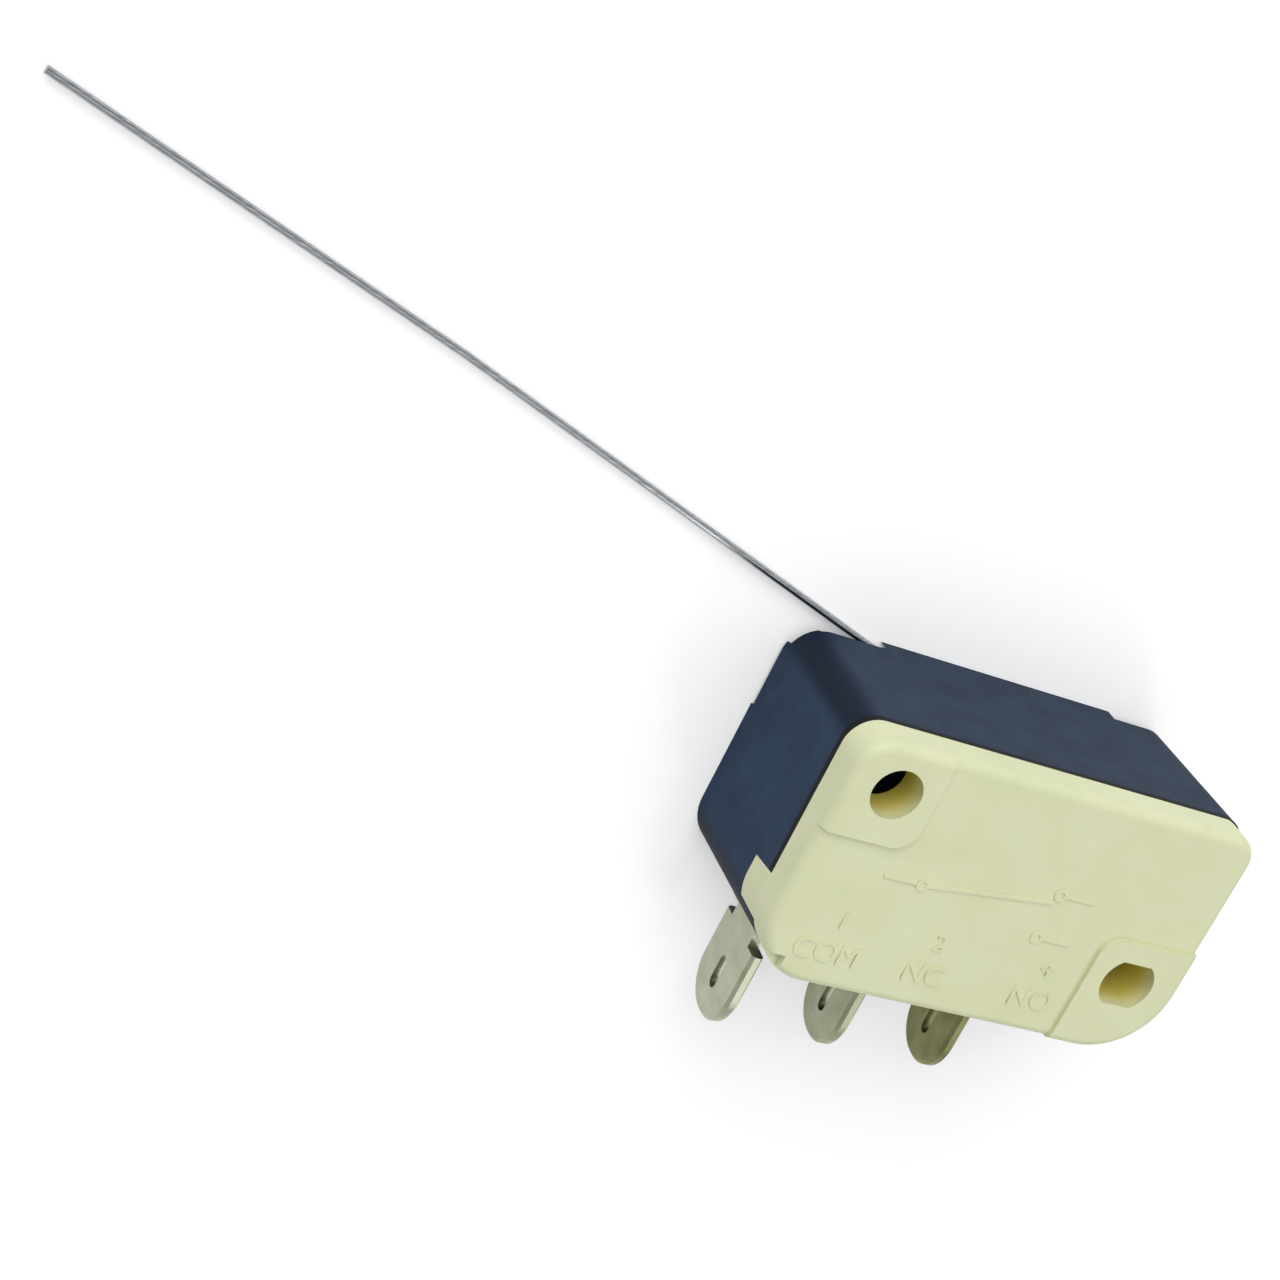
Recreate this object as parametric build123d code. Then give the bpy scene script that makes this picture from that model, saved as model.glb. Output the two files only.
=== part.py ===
from build123d import *
import os
from math import cos, radians, sin

os.makedirs("parts", exist_ok=True)

# Snap action switch with a long wire arm. Millimetres, +Z up.
# The case lies on its flat rear face, Z = 0. X runs along the case, +Y points to the
# actuator side and -Y to the tabs. X = Y = 0 is the middle of the rear face.

# Case
case_length = 27.8          # X
case_height = 15.9          # Y
body_depth = 10.96          # Z of the seam between housing and cover
cover_thick = 2.24          # plain thickness of the cover
wall = 1.3                  # side walls of the housing
rear_wall = 1.9             # rear wall of the housing
edge_round = 0.6            # rounded front edge of the cover
inner_round = 0.6           # smallest corner radius inside the walls
top_left_r = 1.9            # corner radii of the outline at the seam
top_right_r = 1.4
bottom_right_r = 4.8
bottom_left_r = 3.8
top_left_rear_r = 2.2       # the same corners at the rear face
top_right_rear_r = 2.1
bottom_left_rear_r = 3.0
cover_right_r = 1.7         # top right corner of the cover, blunter than the housing's
over = 1.0                  # how far a cutting shape reaches past what it cuts
touch = 0.05                # rest gap between parts that push or slide on each other

# Mounting holes and the pads round them
hole_r = 1.55               # round hole
hole_from_left = 3.1
hole_from_top = 2.9
flat_hole_r = 1.8           # rounded ends of the flatted hole
flat_hole_wide = 2.95       # between its flats
flat_hole_from_right = 3.85
flat_hole_from_bottom = 4.9
boss_wall = 1.05            # wall of the housing's tube round the round hole
collar_room = 0.15          # between the wall and the cover's tube round the flatted hole
pad_rise = 0.3
pad_corner_r = 1.4
pad_left_wide = 5.7
pad_left_high = 6.1
pad_right_wide = 6.85
pad_right_high = 7.75
recess_depth = 0.9          # rear recesses at both top corners, the left one under its pad
recess_edge = 0.3           # depth of the left one at the case's left edge
recess_shelf = 0.8          # length that keeps this depth
recess_ramp = 0.7           # length over which it deepens
recess_right_wide = 4.75
step_wide = 2.0             # small step at the bottom left corner of the cover
step_high = 1.55
step_deep = 0.6

# Tabs
strip = 0.8                 # thickness of the terminals
tab_wide = 5.2
tab_long = 7.4              # below the case
tab_from_left = 2.75        # left face of the first tab
tab_pitch = 7.6
tab_bevel = 0.2             # coined edge round the end of each tab
tab_slot_long = 2.2
tab_slot_wide = 0.8
tab_slot_from_end = 1.8
neck_inset = 1.0            # notches on both sides of each tab, below the case
neck_from_case = 0.65
neck_long = 0.85
shoulder = 0.4              # the strip is narrower inside the case by this on each side

# Arm
wire_d = 0.45
arm_first = 40.3            # from the pivot to the bend
arm_second = 24.9           # from the bend to the tip
arm_slope = 16.7            # degrees above the case's length
arm_bend = 1.5              # degrees, towards the case's length
press_deg = 8.0             # travel of the arm
wire_bend_r = 0.7           # where the wire turns into the shaft
wire_in = 3.0               # length of wire inside the shaft
hub_lift = 0.12             # hub above the plane of the rear face
hub_cover = 0.05            # moulding above and below the wire
hub_r = 1.8
hub_room = 0.2              # radial room round the hub
groove_room = 0.08          # room over the hub and the arm
groove_slack_deg = 1.0      # the groove is wider than the arm's travel by this
groove_half = 0.4           # half width of the groove at the pivot
finger_long = 9.0           # finger of the hub, under the wire
finger_root = 1.0
finger_tip = 0.42
shaft_r = 1.0
shaft_room = 0.05           # radial, in the rear wall and in the cover
bearing_deep = 1.2          # shaft end inside the cover
bearing_end = 0.2           # room past the shaft's end
wire_room = 0.1             # radial room for the wire's end inside the shaft

# Cam and plunger
cam_wall = 0.45
cam_room = 0.2              # between the cam and the top wall
cam_wide = 2.4
nose_from_pivot = 2.6
nose_r = 0.6
nose_deg = 200.0
plunger_wide = 1.8
plunger_deep = 2.8
tail_wide = 1.0
tail_deep = 2.2
tail_long = 0.6
guide_wide = 4.4
guide_over_blade = 1.0
guide_high = 1.1

# Blade, bow and contacts
blade_y = 0.0               # underside of the blade at rest
blade_thick = 0.2
blade_wide = 4.0
blade_ratio = 0.625         # turn of the blade for each degree of the arm
hinge_from_tab = 4.2        # hinge edge from the left face of the first tab
lug_high = 0.7
tongue_long = 1.6
tongue_wide = 2.4
contact_head = 0.6
contact_r = 1.2
rivet_r = 0.7
fixed_r = 1.3
contact_room = 0.15         # between the fixed contacts and the tube beside them
window_from_hinge = 5.95
window_wide = 2.0
window_from_contact = 2.5
bow_thick = 0.15
bow_wide = 1.6
bow_drop = 1.8              # left end of the bow below the blade
bow_sag = 3.0               # its lowest place below the blade
bow_lift = 0.1              # its right end above the blade's underside
leg_room = 0.25             # between the second terminal's leg and the blade
leg_from_wall = 0.3
base_high = 1.2
bar_over = 0.2              # the bar reaches past the contact by this

# Snap tabs of the cover
snap_thick = 0.8
snap_long = 2.34
snap_bottom = 2.1           # heights above the bottom of the case
snap_tip = 4.8
snap_root = 5.15
rib_gap = 0.1               # rib of the cover inside the housing's walls
rib_thick = 0.8
rib_deep = 1.0

# Places that follow from the sizes above
half_l = case_length / 2
half_h = case_height / 2
front_z = body_depth + cover_thick
pad_z = front_z + pad_rise
seam_radii = (top_left_r, top_right_r, bottom_right_r, bottom_left_r)
rear_radii = (top_left_rear_r, top_right_rear_r, bottom_right_r, bottom_left_rear_r)
cover_radii = (top_left_r, cover_right_r, bottom_right_r, bottom_left_r)
mech_z = (rear_wall + body_depth) / 2
hole_x = -half_l + hole_from_left
hole_y = half_h - hole_from_top
boss_r = hole_r + boss_wall
flat_hole_x = half_l - flat_hole_from_right
flat_hole_y = -half_h + flat_hole_from_bottom
collar_r = flat_hole_from_right - wall - collar_room
wall_y = -half_h + wall
tab_end_y = -half_h - tab_long
tab_z0 = mech_z - tab_wide / 2
tab_z1 = mech_z + tab_wide / 2
strip_z0 = tab_z0 + shoulder
strip_z1 = tab_z1 - shoulder
com_x = -half_l + tab_from_left
nc_x = com_x + tab_pitch
no_x = nc_x + tab_pitch

cam_r = shaft_r + cam_wall
pivot_x = 0.0
pivot_y = half_h - wall - cam_room - cam_r
nose_x = pivot_x + nose_from_pivot * cos(radians(nose_deg))
nose_y = pivot_y + nose_from_pivot * sin(radians(nose_deg))
blade_top = blade_y + blade_thick
plunger_x = nose_x
plunger_top = nose_y - nose_r - touch
plunger_end = blade_top + touch
guide_y0 = blade_top + guide_over_blade
guide_y1 = guide_y0 + guide_high

blade_turn = radians(press_deg * blade_ratio)
hinge_x = com_x + hinge_from_tab
contact_x = flat_hole_x - collar_r - contact_room - fixed_r
blade_end_x = contact_x + contact_r
contact_travel = (blade_end_x - hinge_x) * sin(blade_turn) + touch
no_face = blade_y - contact_head - contact_travel
no_shelf_y = no_face - contact_head
bar_y0 = blade_top + contact_head * 2 + touch
bar_y1 = bar_y0 + strip
leg_z0 = rear_wall + leg_from_wall
leg_z1 = mech_z - blade_wide / 2 - leg_room

wire_z = hub_lift + hub_cover + wire_d / 2
hub_z1 = wire_z + wire_d / 2 + hub_cover
groove_deep = hub_z1 + groove_room
shaft_z1 = body_depth + bearing_deep


def box(x0, x1, y0, y1, z0, z1):
    return Pos((x0 + x1) / 2, (y0 + y1) / 2, (z0 + z1) / 2) * Box(x1 - x0, y1 - y0, z1 - z0)


def rod(x, y, r, z0, z1):
    return Pos(x, y, (z0 + z1) / 2) * Cylinder(r, z1 - z0)


def disc(x, y0, y1, r):
    # round contact, its axis along Y in the middle of the case
    return Pos(x, (y0 + y1) / 2, mech_z) * Rotation(90, 0, 0) * Cylinder(r, y1 - y0)


def prism(sketch, z0, z1):
    return extrude(Pos(0, 0, z0) * sketch, z1 - z0)


def polygon(*points):
    return make_face(Polyline(*points, close=True))


def outline(inset=0.0, radii=seam_radii):
    # rectangle of the case with its four corner radii, moved inwards by inset
    sketch = Rectangle(case_length - 2 * inset, case_height - 2 * inset)
    corners = ((-half_l, half_h), (half_l, half_h), (half_l, -half_h), (-half_l, -half_h))
    for (corner_x, corner_y), r in zip(corners, radii):
        corner = sketch.vertices().sort_by_distance((corner_x, corner_y, 0))[0]
        sketch = fillet(corner, max(r - inset, inner_round))
    return sketch


def corner_area(side_x, side_y, wide, high):
    # area at one corner of the case, its inner corner rounded
    x = side_x * (half_l - wide)
    y = side_y * (half_h - high)
    middle = Pos(x + side_x * (wide + over) / 2, y + side_y * (high + over) / 2)
    sketch = middle * Rectangle(wide + over, high + over)
    return fillet(sketch.vertices().sort_by_distance((x, y, 0))[0], pad_corner_r)


def flat_hole(z0, z1):
    sketch = Circle(flat_hole_r) & Rectangle(4 * flat_hole_r, flat_hole_wide)
    return prism(Pos(flat_hole_x, flat_hole_y) * sketch, z0, z1)


def on_arm(along, across):
    # point beside the arm's first run
    turn = radians(180 - arm_slope)
    x = pivot_x + along * cos(turn) - across * sin(turn)
    y = pivot_y + along * sin(turn) + across * cos(turn)
    return (x, y)


# Terminals: the tab outside, then the strip inside the case
def tab(x):
    # drawn with sketch x as Z and sketch y as Y, then turned to stand along X
    round_y = tab_end_y + tab_wide / 2
    slot_y = tab_end_y + tab_slot_from_end + tab_slot_long / 2
    neck_y = -half_h - neck_from_case - neck_long / 2
    sketch = Pos(mech_z, (round_y + wall_y) / 2) * Rectangle(tab_wide, wall_y - round_y)
    sketch += Pos(mech_z, round_y) * Circle(tab_wide / 2)
    for side in (-1, 1):
        notch_z = mech_z + side * (tab_wide / 2 - neck_inset / 2 + over / 2)
        sketch -= Pos(notch_z, neck_y) * Rectangle(neck_inset + over, neck_long)
    plate = extrude(sketch, strip)
    plate = chamfer(plate.edges().filter_by(GeomType.CIRCLE), tab_bevel)
    slot = SlotOverall(tab_slot_long, tab_slot_wide)
    plate -= extrude(Pos(mech_z, slot_y) * Rotation(0, 0, 90) * slot, strip)
    return Pos(x + strip, 0, 0) * Rotation(0, -90, 0) * plate


lug_x1 = hinge_x - touch
lug_x0 = lug_x1 - strip
tongue_z0 = mech_z - tongue_wide / 2
tongue_z1 = mech_z + tongue_wide / 2
terminal_com = tab(com_x)
terminal_com += box(com_x, com_x + strip, wall_y, blade_y, strip_z0, strip_z1)
terminal_com += box(com_x, lug_x1, blade_y - strip, blade_y, strip_z0, strip_z1)
terminal_com += box(lug_x0, lug_x1, blade_y, blade_y + lug_high, strip_z0, strip_z1)
terminal_com += box(lug_x0, lug_x1, blade_y - strip - tongue_long, blade_y - strip, tongue_z0, tongue_z1)

bar_x0 = contact_x - fixed_r - bar_over
bar_x1 = contact_x + fixed_r + bar_over
terminal_nc = tab(nc_x)
terminal_nc += box(nc_x, nc_x + strip, wall_y, wall_y + base_high, leg_z0, strip_z1)
terminal_nc += box(nc_x, nc_x + strip, wall_y, bar_y1, leg_z0, leg_z1)
terminal_nc += box(nc_x, bar_x1, bar_y0, bar_y1, leg_z0, leg_z1)
terminal_nc += box(bar_x0, bar_x1, bar_y0, bar_y1, leg_z0, mech_z + fixed_r + bar_over)

terminal_no = tab(no_x)
terminal_no += box(no_x, no_x + strip, wall_y, no_shelf_y, strip_z0, strip_z1)
terminal_no += box(no_x, contact_x + fixed_r, no_shelf_y - strip, no_shelf_y, strip_z0, strip_z1)

# Contacts
contact_nc = disc(contact_x, bar_y0 - contact_head, bar_y0, fixed_r)
contact_no = disc(contact_x, no_shelf_y, no_face, fixed_r)
moving_contact = disc(contact_x, blade_top, blade_top + contact_head, contact_r)
moving_contact += disc(contact_x, blade_y - contact_head, blade_y, contact_r)
moving_contact += disc(contact_x, blade_y, blade_top, rivet_r)

# Blade with a window, and the bow that lies in the window
blade_z0 = mech_z - blade_wide / 2
blade_z1 = mech_z + blade_wide / 2
window_x0 = hinge_x + window_from_hinge
window_x1 = contact_x - window_from_contact
window_z0 = mech_z - window_wide / 2
window_z1 = mech_z + window_wide / 2
snap_blade = box(hinge_x, blade_end_x, blade_y, blade_top, blade_z0, blade_z1)
snap_blade -= box(window_x0, window_x1, blade_y - over, blade_top + over, window_z0, window_z1)
snap_blade -= disc(contact_x, blade_y - over, blade_top + over, rivet_r)

bow_x0 = hinge_x + touch + bow_drop * sin(blade_turn)
bow_y0 = blade_y - bow_drop
bow_mid_x = (bow_x0 + window_x1) / 2
bow_mid_y = blade_y - bow_sag
bow_y1 = blade_y + bow_lift
bow_upper = ThreePointArc((bow_x0, bow_y0), (bow_mid_x, bow_mid_y), (window_x1, bow_y1))
bow_lower = ThreePointArc((bow_x0, bow_y0 - bow_thick), (bow_mid_x, bow_mid_y - bow_thick),
                          (window_x1, bow_y1 - bow_thick))
bow_ends = [Line(bow_upper @ 1, bow_lower @ 1), Line(bow_lower @ 0, bow_upper @ 0)]
bow_spring = prism(make_face([bow_upper, bow_lower, *bow_ends]), mech_z - bow_wide / 2, mech_z + bow_wide / 2)

# Plunger
plunger_x0 = plunger_x - plunger_wide / 2
plunger_x1 = plunger_x + plunger_wide / 2
plunger_z0 = mech_z - plunger_deep / 2
plunger_z1 = mech_z + plunger_deep / 2
plunger = box(plunger_x0, plunger_x1, plunger_end + tail_long, plunger_top, plunger_z0, plunger_z1)
plunger += box(plunger_x - tail_wide / 2, plunger_x + tail_wide / 2, plunger_end, plunger_end + tail_long,
               mech_z - tail_deep / 2, mech_z + tail_deep / 2)

# Arm: the wire turns down into the shaft at its root
bend_x = pivot_x - arm_first * cos(radians(arm_slope))
bend_y = pivot_y + arm_first * sin(radians(arm_slope))
tip_x = bend_x - arm_second * cos(radians(arm_slope - arm_bend))
tip_y = bend_y + arm_second * sin(radians(arm_slope - arm_bend))
wire_end_z = wire_z + wire_in
wire_path = FilletPolyline((pivot_x, pivot_y, wire_end_z), (pivot_x, pivot_y, wire_z),
                           (bend_x, bend_y, wire_z), (tip_x, tip_y, wire_z), radius=wire_bend_r)
wire_start = Plane(origin=(pivot_x, pivot_y, wire_end_z), z_dir=(0, 0, -1))
lever_wire = sweep(wire_start * Circle(wire_d / 2), path=wire_path)

finger = polygon(on_arm(0, -wire_d / 2), on_arm(finger_long, -wire_d / 2),
                 on_arm(finger_long, finger_tip), on_arm(0, finger_root))
lever_shaft = prism(Pos(pivot_x, pivot_y) * Circle(hub_r) + finger, hub_lift, hub_z1)
lever_shaft += rod(pivot_x, pivot_y, shaft_r, hub_lift, shaft_z1)
wire_way = polygon(on_arm(0, -wire_d / 2), on_arm(finger_long + over, -wire_d / 2),
                   on_arm(finger_long + over, wire_d / 2), on_arm(0, wire_d / 2))
bend_way = polygon(on_arm(0, -wire_d / 2), on_arm(wire_bend_r, -wire_d / 2),
                   on_arm(wire_bend_r, wire_d / 2), on_arm(0, wire_d / 2))
lever_shaft -= prism(wire_way, hub_lift - over, wire_z + wire_d / 2)
lever_shaft -= prism(bend_way, hub_lift - over, wire_z + wire_d / 2 + wire_bend_r)
lever_shaft -= rod(pivot_x, pivot_y, wire_d / 2 + wire_room, hub_lift - over, wire_end_z)

# Cam, pressed on the shaft
side_x = sin(radians(nose_deg))
side_y = cos(radians(nose_deg))
cam_sketch = Pos(pivot_x, pivot_y) * Circle(cam_r) + Pos(nose_x, nose_y) * Circle(nose_r)
cam_sketch += polygon((pivot_x - shaft_r * side_x, pivot_y + shaft_r * side_y),
                      (nose_x - nose_r * side_x, nose_y + nose_r * side_y),
                      (nose_x + nose_r * side_x, nose_y - nose_r * side_y),
                      (pivot_x + shaft_r * side_x, pivot_y - shaft_r * side_y))
cam_sketch -= Pos(pivot_x, pivot_y) * Circle(shaft_r)
cam = prism(cam_sketch, mech_z - cam_wide / 2, mech_z + cam_wide / 2)

# Housing: outer form, cavity and the tube round the round hole
shell = loft([outline(radii=rear_radii), Pos(0, 0, body_depth) * outline()], ruled=True)
housing = shell - prism(outline(wall), rear_wall, body_depth + over)
housing += rod(hole_x, hole_y, boss_r, rear_wall, body_depth)
# guide for the plunger, and the way through it for the second terminal's bar
housing += box(plunger_x - guide_wide / 2, plunger_x + guide_wide / 2, guide_y0, guide_y1,
               rear_wall, body_depth)
housing -= box(plunger_x0 - touch, plunger_x1 + touch, guide_y0 - over, guide_y1 + over,
               plunger_z0 - touch, plunger_z1 + touch)
housing -= box(nc_x, bar_x1, guide_y0 - over, bar_y1, leg_z0, leg_z1)
# mounting holes
housing -= rod(hole_x, hole_y, hole_r, -over, body_depth + over)
housing -= flat_hole(-over, body_depth + over)
# rear recesses; the left one is shallower at the edge of the case
pad_left = corner_area(-1, 1, pad_left_wide, pad_left_high)
pad_right = corner_area(1, -1, pad_right_wide, pad_right_high)
recess_right = corner_area(1, 1, recess_right_wide, pad_left_high)
ramp_x = -half_l + recess_shelf
ramp = Plane.XZ * polygon((-half_l - over, -over), (-half_l - over, recess_edge), (ramp_x, recess_edge),
                          (ramp_x + recess_ramp, recess_depth), (0, recess_depth), (0, -over))
housing -= prism(pad_left, -over, recess_depth) & extrude(ramp, case_height, both=True)
housing -= prism(recess_right, -over, recess_depth)
# pocket for the hub and a fan shaped groove for the arm
fan_far = half_l + over
fan_low = radians(180 - arm_slope - groove_slack_deg)
fan_high = radians(180 - arm_slope + press_deg + groove_slack_deg)
fan = polygon((pivot_x, pivot_y + groove_half),
              (pivot_x + fan_far * cos(fan_low), pivot_y + groove_half + fan_far * sin(fan_low)),
              (pivot_x + fan_far * cos(fan_high), pivot_y - groove_half + fan_far * sin(fan_high)),
              (pivot_x, pivot_y - finger_root - groove_half))
fan += Pos(pivot_x, pivot_y) * Circle(hub_r + hub_room)
housing -= prism(fan, -over, groove_deep)
housing -= rod(pivot_x, pivot_y, shaft_r + shaft_room, -over, rear_wall + over)
# ways for the terminals through the bottom wall
for x in (com_x, nc_x, no_x):
    housing -= box(x, x + strip, -half_h - over, wall_y + over, tab_z0, tab_z1)
# seats for the cover's snap tabs, drawn with sketch x as Z and sketch y as Y
snap_z = body_depth - snap_long
snap_side = polygon((body_depth, -half_h + snap_root), (snap_z, -half_h + snap_tip),
                    (snap_z, -half_h + snap_bottom), (body_depth, -half_h + snap_bottom))
snap_block = Pos(half_l + over, 0, 0) * Rotation(0, -90, 0) * extrude(snap_side, over + snap_thick)
snap_right = shell & snap_block
snap_left = shell & mirror(snap_block, Plane.YZ)
housing -= snap_left
housing -= snap_right

# Cover: a plate with a rounded edge, raised at the pads and stepped at one corner
plate = prism(outline(radii=cover_radii), body_depth, front_z)
plate = fillet(plate.faces().sort_by(Axis.Z)[-1].edges(), edge_round)
raised = Pos(0, 0, pad_rise) * plate
cover = plate + (raised & prism(pad_left, body_depth + pad_rise, pad_z))
cover += raised & prism(pad_right, body_depth + pad_rise, pad_z)
cover -= box(-half_l - over, -half_l + step_wide, -half_h - over, -half_h + step_high,
             front_z - step_deep, pad_z)
# rib that fits inside the housing's walls
rib_in = wall + rib_gap
rib = prism(outline(rib_in) - outline(rib_in + rib_thick), body_depth - rib_deep, body_depth)
rib -= rod(hole_x, hole_y, boss_r + rib_gap, 0, body_depth)
cover += rib
# tube round the flatted hole, which stands on the rear wall
cover += rod(flat_hole_x, flat_hole_y, collar_r, rear_wall + touch, body_depth)
# bearing for the shaft's inner end, and the mounting holes
cover -= rod(pivot_x, pivot_y, shaft_r + shaft_room, body_depth - over, shaft_z1 + bearing_end)
cover -= rod(hole_x, hole_y, hole_r, 0, pad_z + over)
cover -= flat_hole(0, pad_z + over)
cover += snap_left
cover += snap_right

black = (0.10, 0.13, 0.18)
cream = (0.84, 0.85, 0.69)
steel = (0.62, 0.65, 0.67)
tinned = (0.60, 0.61, 0.54)
copper = (0.72, 0.52, 0.30)
silver = (0.80, 0.80, 0.78)
white = (0.85, 0.85, 0.82)

pieces = {
    "housing": (housing, black),
    "cover": (cover, cream),
    "lever_wire": (lever_wire, steel),
    "lever_shaft": (lever_shaft, black),
    "cam": (cam, white),
    "plunger": (plunger, white),
    "terminal_com": (terminal_com, tinned),
    "terminal_nc": (terminal_nc, tinned),
    "terminal_no": (terminal_no, tinned),
    "snap_blade": (snap_blade, copper),
    "bow_spring": (bow_spring, copper),
    "moving_contact": (moving_contact, silver),
    "contact_nc": (contact_nc, silver),
    "contact_no": (contact_no, silver),
}
for name, (shape, shade) in pieces.items():
    shape.label = name
    shape.color = Color(*shade)
    export_step(shape, f"parts/{name}.step")
    print(name, len(shape.solids()), round(shape.volume, 3))
print("pivot", pivot_x, round(pivot_y, 3), "blade hinge", round(hinge_x, 3), "mech z", round(mech_z, 3))
print("arm tip", round(tip_x, 2), round(tip_y, 2), "bore from", recess_depth, "to", pad_z)
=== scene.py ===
# %% [markdown]
# # A snap action switch with a long wire arm
#
# The real thing is a moulded box under three centimetres long. Its black housing is
# closed by a cream cover, three flat tabs come out below, and a thin spring wire
# reaches away from the upper edge. Every rigid piece is already exact in the frame, so
# this lesson is about two things: giving each piece the finish that its real material
# has, and adding the small raised marks that a mould leaves.

# %% Load the frame
import bpy
from math import radians, pi, atan2
from mathutils import Matrix, Vector


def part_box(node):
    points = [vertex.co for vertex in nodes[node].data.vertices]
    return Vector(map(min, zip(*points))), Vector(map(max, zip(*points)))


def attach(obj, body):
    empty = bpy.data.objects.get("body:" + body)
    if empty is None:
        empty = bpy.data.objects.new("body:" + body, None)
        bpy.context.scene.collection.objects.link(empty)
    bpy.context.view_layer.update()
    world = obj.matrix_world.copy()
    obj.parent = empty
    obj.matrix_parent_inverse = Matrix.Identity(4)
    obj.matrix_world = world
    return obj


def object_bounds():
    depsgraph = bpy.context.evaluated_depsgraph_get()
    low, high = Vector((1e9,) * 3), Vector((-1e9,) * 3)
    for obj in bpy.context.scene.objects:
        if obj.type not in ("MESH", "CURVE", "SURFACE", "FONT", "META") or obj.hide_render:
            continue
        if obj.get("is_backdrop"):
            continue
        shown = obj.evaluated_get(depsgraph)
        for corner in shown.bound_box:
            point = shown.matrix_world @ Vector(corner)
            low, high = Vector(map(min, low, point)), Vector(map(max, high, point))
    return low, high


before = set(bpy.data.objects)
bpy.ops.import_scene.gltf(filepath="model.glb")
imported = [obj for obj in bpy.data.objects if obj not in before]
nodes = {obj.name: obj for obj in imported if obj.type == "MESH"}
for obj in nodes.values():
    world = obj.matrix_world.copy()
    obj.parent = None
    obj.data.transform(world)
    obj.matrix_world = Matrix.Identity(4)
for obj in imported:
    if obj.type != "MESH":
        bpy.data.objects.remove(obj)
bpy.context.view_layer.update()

MM = 0.001
print("pieces in the frame:", ", ".join(sorted(nodes)))

# %% [markdown]
# ## The camera
#
# The photograph was taken from close by, so the switch shows strong perspective and the
# camera's distance matters as much as its direction. A camera can be placed by typing a
# location and three angles, but a direction, a distance and a roll round the line of
# sight say the same thing in words that match the picture, so it is built from those.
# The lamps are placed by a direction too, so one function serves both.

# %% Camera


def looking_in(turn_deg, lift_deg):
    """The rotation of a camera or lamp that stands in a direction and faces the switch."""
    turned = Matrix.Rotation(radians(turn_deg), 3, "Z")
    return turned @ Matrix.Rotation(pi / 2 - radians(lift_deg), 3, "X")


view_turn = -122.55               # degrees round the vertical, from straight in front
view_lift = 56.87                 # degrees above the floor
view_roll = 145.44                # degrees round the line of sight, tabs pointing down
view_distance = 122.78 * MM
view_point = Vector((-18.65, 15.34, 6.8)) * MM

view = looking_in(view_turn, view_lift) @ Matrix.Rotation(radians(view_roll), 3, "Z")
lens = bpy.data.cameras.new("camera")
lens.sensor_width = 36.0
lens.lens = 64.4
lens.shift_x = -0.1402
lens.shift_y = -0.0800
lens.clip_start = 0.005
lens.clip_end = 20.0
camera = bpy.data.objects.new("camera", lens)
bpy.context.scene.collection.objects.link(camera)
camera.location = view_point + view_distance * view.col[2]
camera.rotation_euler = view.to_euler()
bpy.context.scene.camera = camera
print("camera at", [round(v / MM, 1) for v in camera.location], "mm")

# %% [markdown]
# ## Small helpers for the finishes
#
# A finish is a network of nodes. Each one here starts from what the real material is,
# then adds the unevenness that its making leaves. Colours are written as sRGB hex,
# the way a colour picker shows them, and one function turns them into the linear
# values that the shader wants. Another adds a node and links it in a single line, so
# that each finish reads from top to bottom. It looks only at the sockets that the
# node's settings leave in use, because a Mix node keeps one set for each kind of value.

# %% Colour and node helpers


def colour(code):
    """An sRGB hex colour as linear red, green, blue and alpha."""
    parts = [int(code[i:i + 2], 16) / 255 for i in (1, 3, 5)]
    linear = [c / 12.92 if c <= 0.04045 else ((c + 0.055) / 1.055) ** 2.4 for c in parts]
    return (*linear, 1.0)


def feed(tree, node, *values, **named):
    """Set or link a node's inputs, in their order or by their names."""
    inputs = [socket for socket in node.inputs if socket.enabled]
    by_name = {socket.name: socket for socket in inputs}
    fed = list(zip(inputs, values))
    fed += [(by_name[name.replace("_", " ")], value) for name, value in named.items()]
    for socket, value in fed:
        if isinstance(value, bpy.types.NodeSocket):
            tree.links.new(value, socket)
        else:
            socket.default_value = value


def add(tree, kind, settings=None, *values, **named):
    """Add a node, change its settings, feed its inputs, and give its outputs by name."""
    made = tree.nodes.new(kind)
    for name, value in (settings or {}).items():
        setattr(made, name, value)
    feed(tree, made, *values, **named)
    return {socket.name: socket for socket in made.outputs if socket.enabled}


print("middle grey as a linear value:", round(colour("#808080")[0], 3))

# %% [markdown]
# ## From helpers to materials
#
# Most materials here are one colour that wavers between two close tones as a noise
# pattern rises and falls. The sizes of the patterns are written in millimetres, because
# a maker knows how wide a grain or a streak is, and turned into the texture's scale.
# Object coordinates tie every pattern to its own piece.

# %% Material helpers
COLOURS = {"data_type": "RGBA"}   # the setting of a Mix node that mixes colours


def two_tones(tree, pattern, low, low_code, high, high_code):
    """A colour that passes from one hex colour to another as a pattern rises."""
    share = add(tree, "ShaderNodeMapRange", Value=pattern, From_Min=low, From_Max=high)
    tones = add(tree, "ShaderNodeMix", COLOURS, share["Result"], colour(low_code), colour(high_code))
    return tones["Result"]


def finish(name):
    """A new material with its tree, its shader, and its piece's places and normals."""
    made = bpy.data.materials.new(name)
    made.use_nodes = True
    tree = made.node_tree
    return made, tree, tree.nodes["Principled BSDF"], add(tree, "ShaderNodeTexCoord")


def per_metre(size_mm):
    """The texture scale that makes one cell of a pattern size_mm wide."""
    return 1.0 / (size_mm * MM)


def paint(material, *names):
    """Put one finish on the named pieces of the frame."""
    for name in names:
        for used in nodes[name].material_slots:
            used.material = material
    print(material.name, "on", ", ".join(names))


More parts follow.
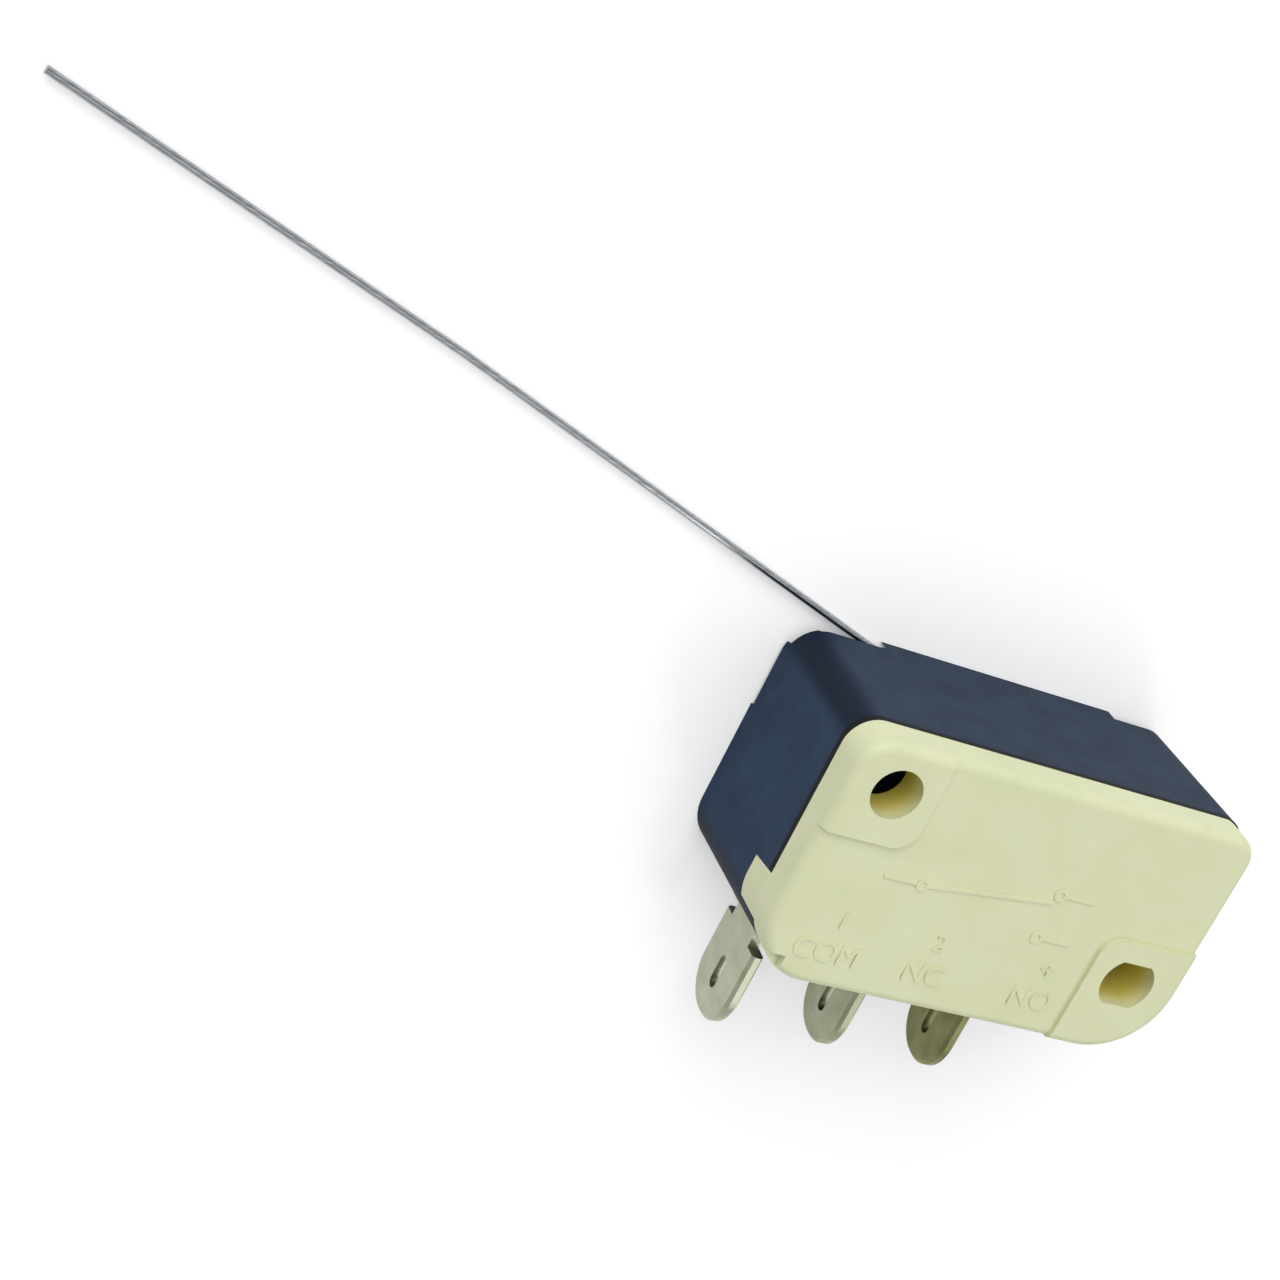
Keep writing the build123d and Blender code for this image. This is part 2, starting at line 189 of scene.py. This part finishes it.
# %% [markdown]
# ## Black phenolic moulding
#
# The housing is pressed from a glass and mineral filled phenolic. The mould has a fine
# spark eroded surface, so the black is not glossy: it shows a bluish sheen, a very fine
# grain, and a slight cloudiness where the filler lies nearer the surface. One noise
# with many layers could draw both, but two noises mixed half and half let the clouds
# be broad while the grain stays fine. The side that the arm lies along is painted a greyer copy of the
# black, a painted side tone for how the light falls on that side. The hub and shaft that carry the arm
# are moulded from the same black.

# %% Black finish
black, tree, shader, where = finish("black_phenolic_spark_grain")
cloud_wide = 2.6                  # mm
grain_wide = 0.12                 # mm; real grain is about 0.03, too fine to show here
cloud = add(tree, "ShaderNodeTexNoise", Vector=where["Object"], Scale=per_metre(cloud_wide), Detail=4.0)
grain = add(tree, "ShaderNodeTexNoise", Vector=where["Object"], Scale=per_metre(grain_wide), Detail=2.0)
speckle = add(tree, "ShaderNodeMix", None, 0.5, cloud["Fac"], grain["Fac"])
bluish = two_tones(tree, speckle["Result"], 0.4, "#1B3049", 0.62, "#253C55")
painted_arm_side_tone = two_tones(tree, speckle["Result"], 0.4, "#1C2A3E", 0.62, "#26364A")
facing = add(tree, "ShaderNodeSeparateXYZ", Vector=where["Normal"])
# painted side tone: faces towards +Y get the greyer copy of the black, for how the light falls on that
# side
shade = add(tree, "ShaderNodeMix", COLOURS, facing["Y"], bluish, painted_arm_side_tone)
print("black clouds", cloud_wide, "mm and grain", grain_wide, "mm wide")

# %% [markdown]
# ## Painted shade on the black
#
# The rounded upright corners are painted darker, a painted shade for the dark reflection
# that they show. They could be picked out on the mesh, but a normal that points between
# two sides already tells the shader where they are. The last half millimetre of black
# below the joint with the cover is painted darker, a painted shadow of the gap at the joint.

# %% Painted corner shade
# the product of the normal's two sideways parts is 0 on a side and 0.5 on a corner
full_corner = 0.46
both_ways = add(tree, "ShaderNodeMath", {"operation": "MULTIPLY"}, facing["X"], facing["Y"])
corner = add(tree, "ShaderNodeMath", {"operation": "ABSOLUTE"}, both_ways["Value"])
painted_corner_shade = add(tree, "ShaderNodeMapRange", {"interpolation_type": "SMOOTHSTEP"},
             Value=corner["Value"], From_Max=full_corner)
# painted shade: the rounded corners are darkened, standing in for the dark reflection they show
with_painted_corner_shade = add(tree, "ShaderNodeMix", COLOURS, painted_corner_shade["Result"], shade["Result"], colour("#08182B"))
print("corners darkest where the product reaches", full_corner)

# %% Painted joint shadow
seam_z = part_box("housing")[1].z
joint_shadow_wide = 0.52 * MM
joint_shadow_fade = 0.14 * MM
joint_shadow_z = seam_z - joint_shadow_wide
upright = add(tree, "ShaderNodeSeparateXYZ", Vector=where["Object"])
# painted shadow: the black just below the joint with the cover is darkened, as the shadow of the gap
joint_shadow = add(tree, "ShaderNodeMapRange", Value=upright["Z"], From_Min=joint_shadow_z, From_Max=joint_shadow_z + joint_shadow_fade)
with_painted_joint_shadow = add(tree, "ShaderNodeMix", COLOURS, joint_shadow["Result"], with_painted_corner_shade["Result"], colour("#060707"))
print("dust from", round(joint_shadow_z / MM, 2), "to", round(seam_z / MM, 2), "mm up")

# %% Sheen and grain of the black
grain_deep = 0.004 * MM
coarse = add(tree, "ShaderNodeMapRange", Value=grain["Fac"], To_Min=0.58, To_Max=0.72)
bump = add(tree, "ShaderNodeBump", Height=grain["Fac"], Strength=0.35, Distance=grain_deep)
feed(tree, shader, Base_Color=with_painted_joint_shadow["Result"], Roughness=coarse["Result"],
     Specular_IOR_Level=0.16, Normal=bump["Normal"])
paint(black, "housing", "lever_shaft")

# %% [markdown]
# ## Cream moulded cover
#
# The cover is a thermoset moulding too, in a yellowish cream. Its mould is smoother, so
# it has a soft even gloss, faint flow marks a few millimetres across, and tiny pits.
# The inside of both holes is painted a darker, stronger yellow, and more so deeper in:
# painted shade and the yellow light that bounces round inside the cream. A vertex colour could hold
# that, but two circles and a depth say the same
# without touching the mesh: a point belongs to a hole if it is no further from its
# axis than the hole's radius.

# %% Cream finish
cream, tree, shader, where = finish("cream_melamine_moulding")
flow_wide = 3.5                   # mm
flow = add(tree, "ShaderNodeTexNoise", Vector=where["Object"], Scale=per_metre(flow_wide),
           Detail=3.0, Distortion=0.6)
clean = two_tones(tree, flow["Fac"], 0.3, "#D3D7AE", 0.7, "#D9DCB5")
print("flow marks", flow_wide, "mm wide")

# %% Where the two holes are
cover_low, cover_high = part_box("cover")
round_from_left = 3.1 * MM
round_from_top = 2.9 * MM
round_r = 1.55 * MM
flatted_from_right = 3.85 * MM
flatted_from_bottom = 4.9 * MM
flatted_r = 1.8 * MM              # of its two rounded ends
past_edge = 0.03 * MM
round_axis = (cover_low.x + round_from_left, cover_high.y - round_from_top, 0.0)
flatted_axis = (cover_high.x - flatted_from_right, cover_low.y + flatted_from_bottom, 0.0)
level = add(tree, "ShaderNodeVectorMath", {"operation": "MULTIPLY"}, where["Object"], (1.0, 1.0, 0.0))
inside = []
for axis, radius in ((round_axis, round_r), (flatted_axis, flatted_r)):
    away = add(tree, "ShaderNodeVectorMath", {"operation": "DISTANCE"}, level["Vector"], axis)
    within = add(tree, "ShaderNodeMath", {"operation": "LESS_THAN"}, away["Value"], radius + past_edge)
    inside.append(within["Value"])
    print("hole axis at", [round(v / MM, 2) for v in axis[:2]], "mm")

# %% Painted shade inside them
hole_shade_from = cover_high.z + 0.1 * MM
hole_shade_to = cover_high.z - 1.5 * MM
either = add(tree, "ShaderNodeMath", {"operation": "MAXIMUM"}, *inside)
upright = add(tree, "ShaderNodeSeparateXYZ", Vector=where["Object"])
deep = add(tree, "ShaderNodeMapRange", Value=upright["Z"], From_Min=hole_shade_from, From_Max=hole_shade_to)
painted_hole_shade = add(tree, "ShaderNodeMath", {"operation": "MULTIPLY"}, either["Value"], deep["Result"])
# painted shade and bounce light: deeper in the holes the cream turns a darker, stronger yellow
shade = add(tree, "ShaderNodeMix", COLOURS, painted_hole_shade["Value"], clean, colour("#D9CC66"))
print("full brown below", round(hole_shade_to / MM, 2), "mm")

# %% Gloss and pits of the cream
skin_wide = 0.25                  # mm
pit_deep = 0.006 * MM
skin = add(tree, "ShaderNodeTexNoise", Vector=where["Object"], Scale=per_metre(skin_wide), Detail=3.0)
rough = add(tree, "ShaderNodeMapRange", Value=skin["Fac"], To_Min=0.45, To_Max=0.58)
pits = add(tree, "ShaderNodeBump", Height=skin["Fac"], Strength=0.2, Distance=pit_deep)
feed(tree, shader, Base_Color=shade["Result"], Roughness=rough["Result"], Normal=pits["Normal"])
paint(cream, "cover")

# %% [markdown]
# ## Tinned brass tabs
#
# The tabs are stamped from brass strip and plated with dull tin. Tin is a soft grey
# white with a greenish warmth from the brass under it. Handling leaves cloudy patches
# of finer and coarser shine. Along the row the tin is painted darker: the first tab is
# bright and the last olive brown, a painted shade for the shadow of the case on the
# further tabs. Three materials could show that, but one that passes from bright to dark along the row
# keeps them a set.

# %% Tab finish
tab_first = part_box("terminal_com")[1].x
tab_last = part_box("terminal_no")[0].x
tinned, tree, shader, where = finish("dull_tin_on_brass")
patch_wide = 1.4                  # mm
patch = add(tree, "ShaderNodeTexNoise", Vector=where["Object"], Scale=per_metre(patch_wide), Detail=4.0)
bright = two_tones(tree, patch["Fac"], 0.3, "#9DA189", 0.7, "#B1B59F")
painted_dark_tin = two_tones(tree, patch["Fac"], 0.3, "#6C6E45", 0.7, "#86875F")
across = add(tree, "ShaderNodeSeparateXYZ", Vector=where["Object"])
# painted shade: the tin is darkened along the row from the first tab to the last, for the case's shadow
painted_shade_share = add(tree, "ShaderNodeMapRange", Value=across["X"], From_Min=tab_first, From_Max=tab_last)
shade = add(tree, "ShaderNodeMix", COLOURS, painted_shade_share["Result"], bright, painted_dark_tin)
rough = add(tree, "ShaderNodeMapRange", Value=patch["Fac"], To_Min=0.3, To_Max=0.44)
feed(tree, shader, Base_Color=shade["Result"], Roughness=rough["Result"], Metallic=1.0)
paint(tinned, "terminal_com", "terminal_nc", "terminal_no")

# %% [markdown]
# ## Drawn spring steel
#
# The arm is hard drawn wire. Drawing it through a die leaves fine streaks that run
# along it, so the noise is stretched in that direction. The wire could be unwrapped
# and the streaks laid along its own length, but its bend is slight, so one Mapping
# node that turns the pattern to the wire's slant is enough.

# %% Wire finish
streak_wide = 0.08                # mm
streak_long = 50                  # times as long as it is wide
wire_low, wire_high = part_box("lever_wire")
wire_slant = atan2(wire_high.y - wire_low.y, wire_low.x - wire_high.x)
steel, tree, shader, where = finish("drawn_spring_steel")
along = add(tree, "ShaderNodeMapping", Vector=where["Object"],
            Rotation=(0.0, 0.0, -wire_slant), Scale=(1 / streak_long, 1.0, 1.0))
streak = add(tree, "ShaderNodeTexNoise", Vector=along["Vector"],
             Scale=per_metre(streak_wide), Detail=2.0)
tone = two_tones(tree, streak["Fac"], 0.3, "#8D9094", 0.7, "#B7BABE")
feed(tree, shader, Base_Color=tone, Metallic=1.0, Roughness=0.17)
paint(steel, "lever_wire")

# %% [markdown]
# ## The pieces inside
#
# The cam and the plunger are natural acetal, a plain milky white. The blade and its bow
# are a spring copper alloy, rolled along their length, and the contacts are silver. No
# light reaches them in the closed case, so each gets only a plain, true colour.

# %% Acetal
acetal, tree, shader, where = finish("moulded_natural_acetal")
milk_wide = 0.8                   # mm
milk = add(tree, "ShaderNodeTexNoise", Vector=where["Object"], Scale=per_metre(milk_wide), Detail=3.0)
tone = two_tones(tree, milk["Fac"], 0.2, "#DCDCD4", 0.8, "#E6E6E0")
feed(tree, shader, Base_Color=tone, Roughness=0.4)
paint(acetal, "cam", "plunger")

# %% Rolled copper alloy
copper, tree, shader, where = finish("rolled_spring_copper")
roll_wide = 0.1                   # mm
roll_long = 20                    # times as long as it is wide
rolled = add(tree, "ShaderNodeMapping", Vector=where["Object"], Scale=(1 / roll_long, 1.0, 1.0))
streak = add(tree, "ShaderNodeTexNoise", Vector=rolled["Vector"], Scale=per_metre(roll_wide), Detail=2.0)
tone = two_tones(tree, streak["Fac"], 0.2, "#C08A55", 0.8, "#D7A468")
feed(tree, shader, Base_Color=tone, Metallic=1.0, Roughness=0.28)
paint(copper, "snap_blade", "bow_spring")

# %% Silver contacts
silver, tree, shader, where = finish("silver_contact_face")
spot_wide = 0.3                   # mm
spots = add(tree, "ShaderNodeTexNoise", Vector=where["Object"], Scale=per_metre(spot_wide), Detail=3.0)
tone = two_tones(tree, spots["Fac"], 0.2, "#C9C9C4", 0.8, "#E4E4E0")
feed(tree, shader, Base_Color=tone, Metallic=1.0, Roughness=0.25)
paint(silver, "moving_contact", "contact_nc", "contact_no")

# %% [markdown]
# ## Raised marks on the cover
#
# A mould maker cuts the marks of a switch into the steel, so they stand about a tenth
# of a millimetre proud of the cover. Here they say only what each tab does, with the
# usual number of each tab and a small drawing of a changeover contact. Text could be
# left to a bump map, but real relief catches the light along its edges as the cover's
# own pads do, so each word is a text object with a little depth, turned into a mesh.

# %% Height of the marks
pad_rise = 0.3 * MM
mark_rise = 0.09 * MM
sunk = 0.02 * MM                  # how far a mark reaches into the face
mark_high = mark_rise + sunk
face_z = cover_high.z - pad_rise
mark_z = face_z - sunk + mark_high / 2
print("face at", round(face_z / MM, 2), "mm, marks up to", round((face_z + mark_rise) / MM, 2), "mm")


def settle(piece):
    """Apply a piece's place to its mesh, then give it its body and finish."""
    bpy.ops.object.select_all(action="DESELECT")
    piece.select_set(True)
    bpy.context.view_layer.objects.active = piece
    bpy.ops.object.transform_apply(location=True, rotation=True, scale=True)
    piece.data.materials.clear()
    piece.data.materials.append(cream)
    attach(piece, "case")
    print(piece.name, "top at", round(max(v.co.z for v in piece.data.vertices) / MM, 3), "mm")


# %% Words over the tabs


def raised_word(name, word, x, y, size_mm):
    """A word in relief on the cover's face, centred on x and y in millimetres."""
    bpy.ops.object.select_all(action="DESELECT")
    bpy.ops.object.text_add(location=(x * MM, y * MM, mark_z))
    piece = bpy.context.active_object
    piece.name = name
    piece.data.body = word
    piece.data.size = size_mm * MM
    piece.data.align_x = "CENTER"
    piece.data.align_y = "CENTER"
    piece.data.extrude = mark_high / 2
    piece.data.bevel_depth = 0.0
    bpy.ops.object.convert(target="MESH")
    settle(piece)


word_size = 1.9                   # these six are in mm
word_y = -5.6
number_size = 1.6
number_y = -3.4
half_strip = 0.4                  # from a tab's face to its middle
edge_room = 4.2                   # least distance of a word's middle from the cover's left edge
tab_words = {"terminal_com": ("COM", "1"), "terminal_nc": ("NC", "2"), "terminal_no": ("NO", "4")}
for node, (word, number) in tab_words.items():
    tab_x = (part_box(node)[0].x + half_strip * MM) / MM
    word_x = max(tab_x, cover_low.x / MM + edge_room)
    raised_word("word_" + word.lower(), word, word_x, word_y, word_size)
    raised_word("number_" + number, number, word_x, number_y, number_size)

# %% [markdown]
# ## The drawing of the contact
#
# The drawing has three round ends, a slanted lever and straight leads. A lead is a bar
# with its edges bevelled, and an end is a ring: a disc whose top is inset and pushed
# down again. One function models a bar and one a ring, each with operators, and every
# bar and ring gets its own mesh and place.

# %% A bar
lead_wide = 0.28                  # mm
lead_bevel = 0.04                 # mm
print("bars", lead_wide, "mm wide")


def raised_bar(name, start, end):
    """A straight raised line between two points of the face, in millimetres."""
    start, end = Vector(start) * MM, Vector(end) * MM
    middle = (start + end) / 2
    bpy.ops.object.select_all(action="DESELECT")
    bpy.ops.mesh.primitive_cube_add(size=1.0)
    piece = bpy.context.active_object
    piece.name = name
    piece.scale = ((end - start).length, lead_wide * MM, mark_high)
    piece.rotation_euler.z = atan2(end.y - start.y, end.x - start.x)
    piece.location = (middle.x, middle.y, mark_z)
    bpy.ops.object.transform_apply(location=True, rotation=True, scale=True)
    edge = piece.modifiers.new("edge", "BEVEL")
    edge.width = lead_bevel * MM
    edge.segments = 2
    bpy.ops.object.modifier_apply(modifier=edge.name)
    settle(piece)


# %% A ring
ring_r = 0.42                     # mm
ring_wall = 0.2                   # mm
ring_slope = 0.01                 # mm, how far its inner wall leans
print("rings", 2 * ring_r, "mm across")


def raised_ring(name, middle):
    """A small raised ring, made from a disc whose top is inset and pushed down."""
    bpy.ops.object.select_all(action="DESELECT")
    place = (middle[0] * MM, middle[1] * MM, mark_z)
    bpy.ops.mesh.primitive_cylinder_add(vertices=40, radius=ring_r * MM, depth=mark_high, location=place)
    piece = bpy.context.active_object
    piece.name = name
    bpy.ops.object.mode_set(mode="EDIT")
    bpy.ops.mesh.select_all(action="DESELECT")
    bpy.ops.object.mode_set(mode="OBJECT")
    for face in piece.data.polygons:
        face.select = face.normal.z > 0.9
    bpy.ops.object.mode_set(mode="EDIT")
    bpy.ops.mesh.inset(thickness=ring_wall * MM, depth=0.0)
    bpy.ops.mesh.inset(thickness=ring_slope * MM, depth=-(mark_rise + sunk / 2))
    bpy.ops.object.mode_set(mode="OBJECT")
    settle(piece)


# %% The whole drawing


def beside(point, right, up=0.0):
    """A point of the drawing, so far to the right of another one and above it."""
    return (point[0] + right, point[1] + up)


common = (-6.2, 0.0)
rest_end = (2.6, 1.5)
work_end = (2.6, -1.5)
left_lead = 2.6                   # mm, from the middle of a ring to the end of its lead
right_lead = 2.4                  # mm
lever_end = beside(rest_end, -0.2, -0.6)     # just short of the upper ring
raised_ring("sign_common", common)
raised_ring("sign_rest", rest_end)
raised_ring("sign_work", work_end)
raised_bar("sign_lead_common", beside(common, -left_lead), beside(common, -ring_r))
raised_bar("sign_lever", beside(common, ring_r), lever_end)
raised_bar("sign_lead_rest", beside(rest_end, ring_r), beside(rest_end, right_lead))
raised_bar("sign_lead_work", beside(work_end, ring_r), beside(work_end, right_lead))

# %% [markdown]
# ## Floor
#
# The photograph has a white ground. A white plane under the switch gives the ground and
# keeps a soft shadow. Stronger lamps could make it white, but they would bleach the
# cover too. So rays from the camera, and those that metal reflects, see the floor a
# little brighter than the switch does, and the switch gets no more light from it.

# %% Rays that see the background


def background_rays(tree):
    """1 for rays from the camera, from gloss and through glass, 0 for those that light."""
    ray = add(tree, "ShaderNodeLightPath")
    shiny = add(tree, "ShaderNodeMath", {"operation": "MAXIMUM"},
                ray["Is Glossy Ray"], ray["Is Transmission Ray"])
    seen = add(tree, "ShaderNodeMath", {"operation": "MAXIMUM"}, ray["Is Camera Ray"], shiny["Value"])
    return seen["Value"]


# %% Floor
floor_size = 3.0                  # m
floor_gap = 0.01 * MM             # keeps the floor from lying in the housing's own plane
floor_glow = 0.25
bpy.ops.object.select_all(action="DESELECT")
bpy.ops.mesh.primitive_plane_add(size=floor_size, location=(0.0, 0.0, -floor_gap))
floor = bpy.context.active_object
floor.name = "floor"
floor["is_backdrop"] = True
ground, tree, shader, _ = finish("white_ground")
feed(tree, shader, Base_Color=colour("#F2F2F2"), Roughness=1.0, Specular_IOR_Level=0.0)
plain = shader.outputs["BSDF"]
glow = add(tree, "ShaderNodeEmission", Color=colour("#FFFFFF"), Strength=floor_glow)
both = add(tree, "ShaderNodeAddShader", None, plain, glow["Emission"])
chosen = add(tree, "ShaderNodeMixShader", None, background_rays(tree), plain, both["Shader"])
feed(tree, tree.nodes["Material Output"], Surface=chosen["Shader"])
floor.data.materials.append(ground)
print("floor", [round(v, 2) for v in floor.dimensions], "m")

# %% [markdown]
# ## Light
#
# The light is soft and comes mostly from the actuator side, which is the brighter edge
# in the photograph. The sky alone could light the switch, but then its rounded edges
# would hardly show. A broad second lamp stands higher, over the end away from the arm's
# tip, and gives the tin something bright to reflect. A small weak one gives the wire its
# short glint.

# %% Lamps
lamp_distance = 0.9               # m


def lamp(name, turn_deg, lift_deg, size, power):
    """A square lamp that stands in a direction from the switch and faces it."""
    light = bpy.data.lights.new(name, "AREA")
    light.shape = "SQUARE"
    light.size = size
    light.energy = power
    stand = bpy.data.objects.new(name, light)
    bpy.context.scene.collection.objects.link(stand)
    way = looking_in(turn_deg, lift_deg)
    stand.location = lamp_distance * way.col[2]
    stand.rotation_euler = way.to_euler()
    print(name, "lamp,", size, "m wide,", power, "W")


lamp("key", turn_deg=203.0, lift_deg=33.0, size=0.7, power=5.1)
lamp("upper", turn_deg=70.0, lift_deg=68.0, size=0.9, power=1.4)
lamp("glint", turn_deg=39.0, lift_deg=50.0, size=0.14, power=0.5)

# %% [markdown]
# ## Sky
#
# The sky that lights the switch is brighter overhead than at the horizon, as in a room
# with a pale ceiling. The background, which the camera and metal see, is white behind
# the floor and greyer overhead, so that metal has both light and dark in it. One sky
# with a strength for each kind of ray gives both.

# %% Sky and background
horizon_light = 0.2
overhead_light = 0.62
horizon_white = 1.0
overhead_white = 0.42
light_from = -0.1                 # these three are heights: 0 at the horizon, 1 overhead
white_until = 0.25
grey_from = 0.6
world = bpy.data.worlds.new("sky")
bpy.context.scene.world = world
world.use_nodes = True
tree = world.node_tree
way = add(tree, "ShaderNodeTexCoord")
height = add(tree, "ShaderNodeSeparateXYZ", Vector=way["Generated"])
light = add(tree, "ShaderNodeMapRange", Value=height["Z"],
            From_Min=light_from, To_Min=horizon_light, To_Max=overhead_light)
white = add(tree, "ShaderNodeMapRange", Value=height["Z"],
            From_Min=white_until, From_Max=grey_from, To_Min=horizon_white, To_Max=overhead_white)
strength = add(tree, "ShaderNodeMix", None, background_rays(tree), light["Result"], white["Result"])
feed(tree, tree.nodes["Background"], Color=colour("#FFFFFF"), Strength=strength["Result"])
bpy.context.scene.view_settings.view_transform = "Standard"
print("sky lights with", horizon_light, "to", overhead_light)

# %% [markdown]
# ## Sizes
#
# The corners of the box round everything that the camera can see are printed, without the floor.
# The finished model must stay inside the exact one.

# %% Print the visual box
seen_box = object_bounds()
for name, corner in (("low", seen_box[0]), ("high", seen_box[1])):
    print(name, "corner of the visual box", [round(v / MM, 2) for v in corner], "mm")
